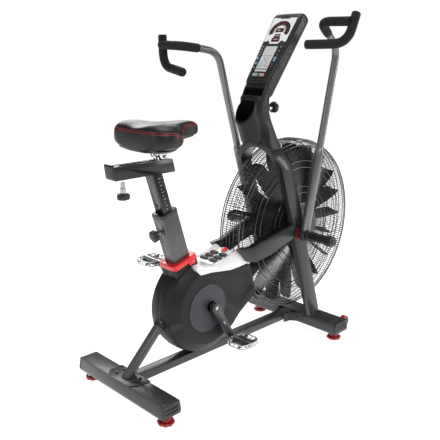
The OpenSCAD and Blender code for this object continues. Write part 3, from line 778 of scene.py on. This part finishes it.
def on_face(f, y, n):
    """Up the console face, across it, and out of it."""
    c, s = math.cos(FACE_TILT), math.sin(FACE_TILT)
    return (FACE_REF[0] + c * f - s * n, y, FACE_REF[1] + s * f + c * n)


def along_seat(a, b, t):
    """Forward of, across and up the seat tube, from its mouth."""
    c, s = math.cos(SEAT_LEAN), math.sin(SEAT_LEAN)
    return (SEAT_REF[0] + c * a - s * t, b, SEAT_REF[1] + s * a + c * t)


# ---------- console ----------

FACE_TOP = 8.0                # how far the face stands over its datum
FACE_LEVEL = FACE_TOP - 0.4   # the surface that the marks are printed on
# the case by its distance up the face: half width, front surface and back surface
HOUSING_HALF = [(-80, 48), (-60, 53), (-20, 58), (0, 58), (300, 74), (316, 71), (325, 62)]
HOUSING_FRONT = [(-80, -6), (-72, -1), (-8, 0), (0, 6.6), (300, 7.0), (314, 2), (325, -12)]
HOUSING_BACK = [(-80, -9), (-70, -18), (-58, -34), (-42, -52), (-24, -59), (124, -54), (228, -50),
                (312, -48), (325, -40)]

# up the face, across it, width, height and edge colour of each key
KEYS = {"key_start": (26, 17, 29, 17, "ink_green"), "key_stop": (26, -17, 29, 17, "ink_red"),
        "key_left": (100, 45, 14, 17, "ink_blue"), "key_right": (97, -45, 13, 24, "ink_blue")}
GAUGE_F = 229.0               # middle of the round gauge, up the face
GAUGE_SQUASH = 0.94


def oblong(f, y, height, width, r=2):
    """A rounded mark; height goes up the face."""
    corner = min(r, height / 2.1, width / 2.1)
    return [(f + b, y + a) for a, b in soft_rect(width, height, corner, 3)]


def arc(r0, r1, a0, a1, n=3):
    """A stretch of ring about the gauge's middle, from angle a0 to a1 in degrees."""
    outer = [(GAUGE_F + GAUGE_SQUASH * r1 * math.sin(math.radians(a)), r1 * math.cos(math.radians(a)))
             for a in np.linspace(a0, a1, n)]
    inner = [(GAUGE_F + GAUGE_SQUASH * r0 * math.sin(math.radians(a)), r0 * math.cos(math.radians(a)))
             for a in np.linspace(a1, a0, n)]
    return outer + inner


def arc_strip(r0, r1, a0, a1, n):
    """A long arc as n short ones, which stay convex."""
    cuts = np.linspace(a0, a1, n + 1)
    return [arc(r0, r1, p, q) for p, q in zip(cuts[:-1], cuts[1:])]


def decal(name, shapes, mat, level=0.0, body="frame", thick=0.35, replaced=()):
    """Thin printed shapes, level mm above the face."""
    base = FACE_LEVEL + level
    parts = [prism(outline, on_face, base, base + thick) for outline in shapes]
    return add_piece(name, *merge(parts), mat, body, replaced)


def make_case():
    """The console's case with its tray, and the dark face over it, both open under the keys."""
    stations = [-80, -77, -72, -64, -54, -42, -24, -8, -4, 0, 30, 60, 90, 120, 150, 180, 210, 240, 270,
                296, 304, 310, 315, 319, 322, 324, 325]
    rings = []
    for f in stations:
        front, back = blend_table(f, HOUSING_FRONT), blend_table(f, HOUSING_BACK)
        h = front - back
        outline = soft_rect(2 * blend_table(f, HOUSING_HALF), h, min(13.0, h * 0.42), 4)
        rings.append([on_face(f, a, (front + back) / 2 + b) for a, b in outline])
    case = add_piece("console_case", *skin(rings), "console_plastic", "frame", ("console_housing",))
    combine(case, prism([(b - 44, a) for a, b in soft_rect(104, 36, 5, 4)], on_face, -20, 20))
    round_edges(case, 1.4)
    mat = prism([(b - 44, a) for a, b in soft_rect(103, 35, 5, 4)], on_face, -21, -19.4)
    add_piece("tray_mat", *mat, "cup_plastic", "frame")
    outline = [(2, -50), (286, -63.5), (292, -60), (292, 60), (286, 63.5), (2, 50)]
    face = add_piece("console_dark_face", *prism(outline, on_face, FACE_TOP - 2.6, FACE_LEVEL),
                     "console_plastic", "frame", ("console_face",))
    round_edges(face, 0.8)
    for f, y, width, height, _ in KEYS.values():
        hole = [(f + b, y + a) for a, b in soft_rect(width + 0.8, height + 0.8, 3, 3)]
        for wall in (case, face):
            combine(wall, prism(hole, on_face, FACE_TOP - 6, FACE_TOP + 4))


def make_gauge():
    """White upper panel with a waved border, an arc gauge and a small box under it."""
    waves = [(178, -1), (181, -.72), (185, -.62), (181, -.52), (172, -.40), (169, -.34), (169, .34),
             (172, .40), (181, .52), (185, .62), (181, .72), (178, 1)]
    top = [(288, .955), (290.5, .9), (290.5, .42), (286, .36), (286, -.36), (290.5, -.42), (290.5, -.9),
           (288, -.955)]
    panel = [(f, y * (50 + (f - 2) * 13.5 / 290 - 1.2)) for f, y in waves + top]
    decal("panel_white", [panel], "white_gloss")
    decal("gauge_band", arc_strip(30, 50, -26, 206, 24), "ink_black", 0.3)
    decal("gauge_ticks", [arc(33.5, 44.5, a, a + 3.2, 2) for a in range(-20, 202, 20)]
          + arc_strip(46.4, 48, -24, 60, 8), "ink_red", 0.5)
    decal("gauge_silver", arc_strip(24.5, 29.5, -18, 198, 20), "ink_grey", 0.3)
    decal("gauge_window", [oblong(232, 0, 20, 40, 6), oblong(206, 0, 16, 30, 2)], "ink_black", 0.3)
    decal("gauge_window_edge", [oblong(223.5, 0, 2, 40, .8), oblong(241, 0, 2, 34, .8),
                                oblong(199.5, 0, 1.6, 30, .6)], "ink_red", 0.5)
    decal("gauge_window_bars", [oblong(232, 4, 8, 14, 3), oblong(206.5, 0, 6, 20, 1)], "ink_grey", 0.5)
    decal("lap_box_edge", [oblong(188, 0, 21, 40, 4)], "ink_red", 0.3)
    decal("lap_box", [oblong(188, 0, 17, 36, 3)], "ink_black", 0.5)
    decal("lap_box_bar", [oblong(189, 0, 6, 24, 2)], "ink_grey", 0.7)


def make_display():
    """Pale glass with seven-segment figures and bars, and the plain marks beside it."""
    outline = [(41.5, -29), (157, -29.5), (157, 29.5), (41.5, 29)]
    glass = prism(outline, on_face, FACE_TOP - .5, FACE_TOP + .25)
    add_piece("display_glass", *glass, "lcd_glass", "frame", ("lcd_lens",))
    segments = {"a": (14, 0, 1.8, 7), "g": (0, 0, 1.8, 7), "d": (-14, 0, 1.8, 7),
                "b": (7, -5, 10, 1.8), "c": (-7, -5, 10, 1.8), "f": (7, 5, 10, 1.8), "e": (-7, 5, 10, 1.8)}
    shapes = []
    for figure, y0 in (("abged", 12), ("afgcd", -6)):
        for key in figure:
            f, y, height, width = segments[key]
            shapes.append(oblong(88 + f, y0 + y, height, width, .7))
    shapes += [oblong(113, 0, 1.2, 54, .5), oblong(66, 14, 2, 22, .5), oblong(66, -15, 2, 20, .5)]
    shapes += [oblong(52, y, 5, 8, 1) for y in (22, 11, 0, -11, -22)]
    decal("display_marks", shapes, "ink_black", 0.62, thick=0.2)
    left = [(155, 46), (143, 46), (129, 45), (117, 44.5), (60, 42)]
    decal("side_marks", [oblong(f, y, 5, 9, 1.5) for f, y in left]
          + [oblong(155, -46.5, 6, 6, 2.5), oblong(137, -45, 2, 12, .8), oblong(118, -45, 5, 5, 2),
             oblong(76, -42, 5, 5, 2)], "ink_grey", 0.05)
    decal("red_mark", [oblong(66, -42, 5, 11, 1)], "ink_red", 0.05)
    decal("second_mark_edge", [oblong(79, 43, 16, 15, 2)], "ink_blue", 0.05)
    decal("second_mark", [oblong(79, 43, 10, 10, 2)], "ink_grey", 0.3)


def make_keys():
    """A coloured edge round a paler cap on each key."""
    for key, (f, y, width, height, mat) in KEYS.items():
        edge = decal(key + "_edge", [oblong(f, y, height, width, 3)], mat, 0.1, key, 1.5, (key,))
        round_edges(edge, 0.5)
        cap = decal(key + "_cap", [oblong(f, y, height - 5, width - 5, 2)], "ink_grey", 1.5, key, 0.5)
        round_edges(cap, 0.2)


def make_side_strips():
    """A ribbed strip down each side of the case."""
    parts = []
    for s in (1, -1):
        for i in range(58):
            f = 32 + 3.0 * i
            w = blend_table(f, HOUSING_HALF)
            rib = [(f + df, w + dy) for df, dy in ((-1.4, -1), (-.7, .9), (.7, .9), (1.4, -1))]
            parts.append(to_side(prism(rib, on_face, -33, -14), s))
    add_piece("side_strips", *merge(parts), "console_plastic", "frame")


# ---------- mast and cup ----------

CUP_FOOT = np.array([182.0, 0, 872.0])
CUP_AXIS = np.array([-0.355, 0, 0.935])
# the mast by its height: rider-side surface, fan-side surface and half width
MAST_RIDER = [(790, 200), (806, 198), (850, 191), (885, 189), (915, 187), (950, 169), (985, 150),
              (1030, 158), (1052, 170)]
MAST_FAN = [(790, 277), (806, 275), (851, 268), (988, 217), (1046, 221), (1052, 222)]
MAST_HALF = [(790, 94), (806, 92.5), (872, 70), (950, 58), (1060, 57)]
ARCH_MID = 745.0
ARCH_OUT = 124.0


def cup_mouth(gap):
    """A block over the oblique mouth of the cup, gap mm beyond it."""
    a = math.radians(61.8)
    u = np.array([math.cos(a), 0, math.sin(a)])
    n = np.array([-math.sin(a), 0, math.cos(a)])
    base = np.array([113, 0, 954]) + n * gap

    def place(p, q, y):
        return tuple(base + u * p + n * q + np.array([0, y, 0]))
    return prism([(-90, 0), (230, 0), (230, 140), (-90, 140)], place, -110, 110)


def arch_solid(r, low, x0, x1, n=48):
    """Everything inside an arch of radius r with straight legs, seen along the machine."""
    pts = [(-r, low)] + [(r * math.cos(math.pi - math.pi * i / n), ARCH_MID + r * math.sin(math.pi * i / n))
                         for i in range(n + 1)] + [(r, low)]
    return prism(pts, lambda a, b, c: (c, a, b), x0, x1)


def make_mast():
    """The mast with the cup's cylinder flowing into it, and the cup's liner and mat."""
    rings = []
    for z in list(range(792, 1050, 12)) + [1050]:
        x0, x1 = blend_table(z, MAST_RIDER), blend_table(z, MAST_FAN)
        w = blend_table(z, MAST_HALF)
        rings.append([((x0 + x1) / 2 + a, b, z) for a, b in soft_rect(x1 - x0, 2 * w, 17, 5)])
    mast = add_piece("mast_cover", *skin(rings), "mast_plastic", "frame", ("mast",), sharp=60)
    combine(mast, turned([(-25, 8, 0), (-18, 34, 0), (0, 47, 0), (230, 47, 0)], CUP_FOOT, CUP_AXIS, n=64),
            "UNION")
    combine(mast, cup_mouth(0.0))
    clay(mast, 3.0, 7)
    combine(mast, turned([(18, 41.5, 0), (260, 41.5, 0)], CUP_FOOT, CUP_AXIS, n=64))
    combine(mast, cup_mouth(0.2))
    combine(mast, arch_solid(ARCH_OUT + 0.4, 480, 60, 330))
    tray = [(-62, -24), (-26, -24), (-26, 30), (-62, 30)]
    combine(mast, prism(tray, lambda f, n, y: on_face(f, y, n), -52, 52))
    sharpen(mast, 48)
    wall = [(19, 41.2, 0), (260, 41.2, 0), (260, 39.4, 0), (21, 39.4, 0)]
    liner = turned(wall, CUP_FOOT, CUP_AXIS, n=64, closed=True)
    cup = add_piece("cup_liner", *liner, "cup_plastic", "frame", ("cup_holder",))
    combine(cup, cup_mouth(1.2))
    bottom = turned([(20.2, 5, 0), (20.2, 40.2, 0), (22, 39, 0), (22, 5, 0)], CUP_FOOT, CUP_AXIS, n=48)
    add_piece("cup_mat", *bottom, "cup_plastic", "frame")


# ---------- body covers ----------

SEAM = [(-197, 445), (-170, 413), (-113, 411.8), (-13, 396.8), (35, 397.8), (84, 404.5)]
CREST = [(-194, 451), (-164, 454), (-140, 444), (-90, 432), (-30, 440), (10, 449), (34, 456), (56, 447),
         (92, 414)]
SHOULDER = [(-194, 0), (-150, 1), (-110, 4), (-60, 6), (-20, 9), (20, 12), (48, 9), (70, 3), (92, 0)]


def make_top_cover():
    """The pale cover over the shrouds, cut for the fan and the seat tube."""
    rings = []
    for x in np.linspace(-192, 90, 60):
        low = blend_table(x, SEAM) + 0.3
        top = max(low + 4, blend_table(x, CREST))
        lift = blend_table(x, SHOULDER)
        h = top - low
        half = [(76.6, low), (77, low + .25 * h), (76.2, low + .55 * h), (72, top + .35 * lift - .12 * h),
                (67, top + .8 * lift), (61, top + lift), (55, top + .75 * lift), (50, top + .2 * lift),
                (46, top), (24, top + .3), (0, top + .3)]
        ring = [(x, y, z) for y, z in half] + [(x, -y, z) for y, z in half[-2::-1]]
        rings.append(ring + [(x, -60, low), (x, 0, low), (x, 60, low)])
    cover = add_piece("cover_shell", *skin(rings), "white_gloss", "frame", ("top_cover",), sharp=50)
    mod = cover.modifiers.new("smooth", "SMOOTH")
    mod.iterations = 3
    evaluated(cover)
    combine(cover, disc(FAN, CAGE_R + 4, -61, 61, 96))
    combine(cover, disc(FAN, CAGE_R - 32, -100, 100, 96))
    combine(cover, prism(soft_rect(113, 93, 14, 5), along_seat, -264, -150))
    for s in (1, -1):
        slot = [(54, 423), (70, 415), (73, 420), (57, 429)]
        combine(cover, prism(slot, across, s * 70, s * 84))
    sharpen(cover, 40)


def make_cover_pads():
    """Six oblong pads in two rows that climb forwards, and a round cap."""
    parts = []
    for i in range(3):
        for s in (1, -1):
            x, z = -62 + 27 * i, 437.4 + 4.6 * i
            rings = []
            for h, k in ((-1, .95), (2.4, 1), (3.8, .93), (4.4, .75)):
                rings.append([(x + a * k + 0.16 * h, s * 24 + b * k, z + h + 0.158 * a * k)
                              for a, b in soft_rect(19, 42, 9.3, 6)])
            parts.append(skin(rings))
    add_piece("cover_pads", *merge(parts), "pad_rubber", "frame", ("step_pads",), sharp=50)
    cap = turned([(0, 14, 0), (3, 14, 0), (5, 12, 0), (5.6, 6, 0)], (24, 0, 455), (-0.36, 0, 0.93))
    add_piece("cover_cap", *cap, "red_bright", "frame")


PANEL = [(-18, 366), (58, 351), (90, 343), (112, 292), (98, 284), (30, 245)]


def make_body():
    """Both shrouds, each with a sunken panel and a dished cover over the crank."""
    for side, s in (("left", 1), ("right", -1)):
        o = polish("shroud_" + side, "frame", "shroud_plastic", 2.2, name="body_" + side)
        cx, cz = np.mean(PANEL, axis=0)
        recess = [[(cx + (x - cx) * k, s * y, cz + (z - cz) * k) for x, z in PANEL]
                  for y, k in ((76, 1.0), (73.3, 0.93))]
        combine(o, skin(recess))
        sharpen(o, 30)
        # dished cover over the crank
        centre = (-137, s * 74.6, 278)
        rows = [(0, 93, 0), (2.2, 93, 0), (3.4, 91.5, 0), (3.0, 88.5, 0), (3.4, 86, 0), (4.6, 60, 0),
                (5.2, 14, 0)]
        cap = add_piece("crank_cap_" + side, *turned(rows, centre, (0, s, 0), n=72), "grey_plastic",
                        "frame", ("crank_covers",) if s > 0 else ())
        combine(cap, disc(CRANK, 21, -90, 90, 48))
        sharpen(cap, 25)


def make_strut_cowl():
    """The cowl where the rear strut enters the drum, meant to shrink and lean in as it rises.

    Known fault: base lies on a straight run, so rounded() repeats it, frames() divides by zero
    and most of this mesh is lost.
    """
    base = np.array([-306, 0, 244.0])
    strut = np.array([1, 0, 1.0]) / math.sqrt(2)
    path = [base - strut * 14, base, base + strut * 16, base + strut * 30 + [-2, 0, 6],
            base + strut * 40 + [-6, 0, 24], base + strut * 46 + [-8, 0, 44]]
    cowl = tube(densify(rounded(path, [40] * 4, 5), 4), 22.5, 28)
    o = add_piece("strut_cowl", *cowl, "shroud_plastic", "frame", sharp=60)
    for p in o.data.vertices:
        rise = p.co.z * 1000 - base[2]
        keep = np.interp(rise, [-12, -6, 4, 26, 60, 84], [.9, 1, 1.0, .86, .45, .02])
        lean = np.interp(rise, [-12, 0, 12, 30, 60, 84], [-12, 0, 12, 24, 33, 36])
        mid = (base[0] + lean - DATUM) / 1000
        p.co.x = mid + (p.co.x - mid) * keep
        p.co.y = p.co.y * keep


# ---------- feet, wheels, knobs, pegs ----------

FOOT = [(0, 25, 3), (1, 28.5, 4), (4, 30.8, 5), (9, 30.8, 5), (12, 28.5, 4), (13.4, 22, 1),
        (14, 17.5, 0), (24, 16.5, 0), (26, 14, 0), (27, 8, 0), (27.5, 5, 0), (39, 5, 0)]
WHEEL = [(-10, 24, 0), (-9, 25.6, 0), (-3, 26, 0), (3, 26, 0), (9, 25.6, 0), (10, 24, 0), (10, 19, 0),
         (7, 17, 0), (7, 9, 0), (10, 8, 0), (10, 5.2, 0), (-10, 5.2, 0), (-10, 8, 0), (-7, 9, 0),
         (-7, 17, 0), (-10, 19, 0)]
# foot pegs, by the distance from the middle plane
PEG = [(129, 16, 0), (130.5, 12.5, 0), (163, 12.5, 0), (164, 19, 0), (165, 20.2, 0), (175, 20.2, 0),
       (176, 19, 0), (258, 19, 0)]
PEG_TIP = [(256, 19, 0), (257, 21, 0), (259, 21.2, 0), (286, 21.2, 0), (288.6, 19, 0), (289, 14, 0),
           (287, 9.5, 0), (270, 9, 0), (270, 3, 0)]
GRIP = [(0, 12, 1), (1.5, 19, 2.5), (5, 22.6, 4), (14, 23, 4.5), (20, 22, 4), (23, 17, 2), (24, 8, 0)]


def make_feet_and_wheels():
    for where, x in (("rear", -465), ("front", 481)):
        for side, s in (("left", 1), ("right", -1)):
            node = f"foot_{where}_{side}"
            add_piece(node + "_lobed", *turned(FOOT, (x, s * 217, 0), (0, 0, 1), 8), "red_plastic", node,
                      (node,), sharp=50)
    for side, s in (("left", 1), ("right", -1)):
        node = "wheel_" + side
        wheel = turned(WHEEL, (556, s * 213, 55), (0, 1, 0), n=48, closed=True)
        add_piece(node + "_turned", *wheel, "red_plastic", node, (node,), sharp=35)
        middle = (PIVOT[0], 0, PIVOT[1])
        add_piece("peg_" + side, *turned(PEG, middle, (0, s, 0), n=48), "crank_paint", "frame",
                  ("foot_pegs",) if s > 0 else (), sharp=35)
        add_piece("peg_rubber_" + side, *turned(PEG_TIP, middle, (0, s, 0), n=48), "black_plastic",
                  "frame", sharp=35)


def knob(name, origin, axis, start, neck, reach):
    """A lobed grip from start along the axis, on a stepped neck that begins at reach."""
    rows = [(start + t, r, d) for t, r, d in GRIP]
    add_piece(name + "_grip", *turned(rows, origin, axis, 5), "black_plastic", name, (name,), sharp=45)
    rows = [(reach, 4.6, 0), (neck[0], 4.6, 0), (neck[0] + 1, 9.6, 0), (neck[1] - 1, 9.6, 0),
            (neck[1], 8, 0), (start + 2, 8, 0)]
    add_piece(name + "_neck", *turned(rows, origin, axis, n=32), "steel", name, sharp=35)


def make_knobs():
    back = tuple(-np.array(along_seat(1, 0, 0)) + np.array(along_seat(0, 0, 0)))
    knob("post_knob", along_seat(-39, 0, -66), back, 18, (1.5, 16), -16)
    lean = math.radians(84)
    knob("mast_knob", (226, 0, 985), (math.sin(lean), 0, math.cos(lean)), 62, (40, 60), 1)
    # the slider's nut hangs grip downwards
    foot = (-449, 0, 734)
    add_piece("slider_knob_grip", *turned(GRIP, foot, (0, 0, 1), 5), "black_plastic", "slider_knob",
              ("slider_knob",), sharp=45)
    neck = [(22, 5, 0), (22, 9.5, 0), (40, 9.5, 0), (42, 8.0, 0), (60, 7.6, 0), (61, 5, 0)]
    add_piece("slider_knob_neck", *turned(neck, foot, (0, 0, 1), n=32), "steel", "slider_knob", sharp=35)


# ---------- pedals ----------

def bar(w, d, corner, x, y, low, high, n=2):
    """A bar of plan w by d about (x, y), in the pedal's own axes."""
    outline = [(x + p, y + q) for p, q in soft_rect(w, d, corner, n)]
    return prism(outline, lambda p, q, c: (p, q, c), low, high)


def make_pedal(side, s):
    a = CRANK_ANGLE + (0 if side == "right" else math.pi)
    x, z = CRANK[0] + CRANK_LEN * math.cos(a), CRANK[1] - CRANK_LEN * math.sin(a)
    node = "pedal_" + side

    def put(tag, parts, mat, replaced=()):
        v, f = merge(parts)
        v, f = to_side((v + np.array([x, 122, z]), f), s)
        add_piece(f"{node}_{tag}", v, f, mat, node, replaced, sharp=40)

    # two waved bands round the platform, with teeth along every edge
    loop = [(-49, 18), (-40, 2), (-20, -6), (20, -6), (40, 2), (49, 18), (49, 66), (40, 82), (20, 88),
            (-20, 88), (-40, 82), (-49, 66)]
    cage = [sweep([(p, q, h) for p, q in loop], soft_rect(3.2, 5.0, 1.2, 2), closed=True)
            for h in (-7.5, 7.5)]
    for p in (-42, -22, 0, 22, 42):
        for q in ((-4, 86) if abs(p) < 30 else (4, 79)):
            cage.append(bar(6, 3, 1, p, q, -8, 8))
    for p in (-48, 48):
        for q in (22, 42, 62):
            cage.append(bar(3, 7, 1, p, q, -8, 8))
    put("cage", cage, "pedal_alloy", (node,))
    deck = [bar(46, 80, 8, 0, 42, -6.5, 6.5, 4)]
    for p in (-33, 33):
        for q in (18, 66):
            deck.append(bar(34, 6, 2, p, q, -4, 4))
    for i in range(7):
        for low in (-7.6, 6.4):
            deck.append(bar(38, 3, 1, 0, 12 + 10 * i, low, low + 1.2))
    put("deck", deck, "grey_plastic")
    barrel = [(-9, 7.6, 0), (-8, 11.5, 0), (6, 11.5, 0), (12, 9.4, 0), (78, 9.4, 0), (84, 10.4, 0),
              (90, 8, 0)]
    put("barrel", [turned(barrel, (0, 0, 0), (0, 1, 0), n=28)], "steel")


# ---------- seat post details ----------

def make_post_marks():
    """Height marks up the right face of the post: a long bar, then a short one."""
    parts = []
    for i in range(10):
        low = 14 + 13 * i
        reach = 11 if i % 2 else 6
        mark = [(-5, low), (reach - 5, low), (reach - 5, low + 2.2), (-5, low + 2.2)]
        parts.append(prism(mark, lambda a, b, c: along_seat(a, c, b), -25.12, -24.9))
    add_piece("height_marks", *merge(parts), "ink_grey", "seat_post", slot="post_paint")


def make_carrier_cap():
    """The end cap of the carrier stands up over its rear end."""
    cap = [(-490, 805), (-487, 805), (-496, 858), (-502, 860), (-505, 855), (-499, 812)]
    o = add_piece("carrier_cap", *prism(cap, across, -23.5, 23.5), "black_plastic", "seat_post")
    round_edges(o, 2.5, 3)


def make_crank_marks():
    """A pale patch on each crank arm, and a cap over each end of the axle."""
    patches, caps = [], []
    cap = [(107, 13, 0), (110.5, 13, 0), (111.5, 11.5, 0), (111, 8, 0), (108.5, 7.5, 0), (108.5, 2, 0)]
    for s, turn in ((-1, CRANK_ANGLE), (1, CRANK_ANGLE + math.pi)):
        def place(p, q, c, turn=turn):
            return (CRANK[0] + p * math.cos(turn) + q * math.sin(turn), c,
                    CRANK[1] - p * math.sin(turn) + q * math.cos(turn))
        outline = [(84 + p, q) for p, q in soft_rect(16, 7, 1, 2)]
        patches.append(to_side(prism(outline, place, 106.7, 107.4), s))
        caps.append(to_side(turned(cap, (CRANK[0], 0, CRANK[1]), (0, 1, 0), n=32), s))
    add_piece("crank_patches", *merge(patches), "ink_grey", "crank", slot="crank_paint")
    add_piece("crank_caps", *merge(caps), "bolt_steel", "crank", sharp=30)


make_case()
make_gauge()
make_display()
make_keys()
make_side_strips()
make_mast()
make_top_cover()
make_cover_pads()
make_body()
make_strut_cowl()
make_feet_and_wheels()
make_knobs()
make_pedal("left", 1)
make_pedal("right", -1)
make_post_marks()
make_carrier_cap()
make_crank_marks()


# ---------- carried-over CAD ----------

SLOT = {s["node"]: s["material_slot"] for s in frame["record"]["subparts"]}
BODY_OF = {n: b for b, ns in frame["record"]["behaviour"]["bodies"].items() for n in ns}
# width of the rounding on the edges of each CAD piece that is shown, in mm
ROUNDING = {
    "rear_stabilizer": 4, "end_caps": 1.5, "rear_saddle_plate": 1.0, "main_rail": 4,
    "front_stabilizer": 4, "front_gusset": 1.5, "wheel_brackets": 1.0, "front_legs": 4,
    "side_stays": 4, "front_arch": 4, "axle_brackets": 1.0, "seat_tube": 1.5, "post_sleeve": 1.0,
    "post_collar": 6, "crank_arms": 2.0, "seat_post": 2.0, "seat_slider": 1.0, "frame_bolts": 1.0}

for node, width in ROUNDING.items():
    polish(node, BODY_OF[node], "red_bright" if node == "post_collar" else SLOT[node], width)
for node, cad in NODES.items():
    cad.data.materials.clear()
    cad.data.materials.append(MAT[SLOT[node]])
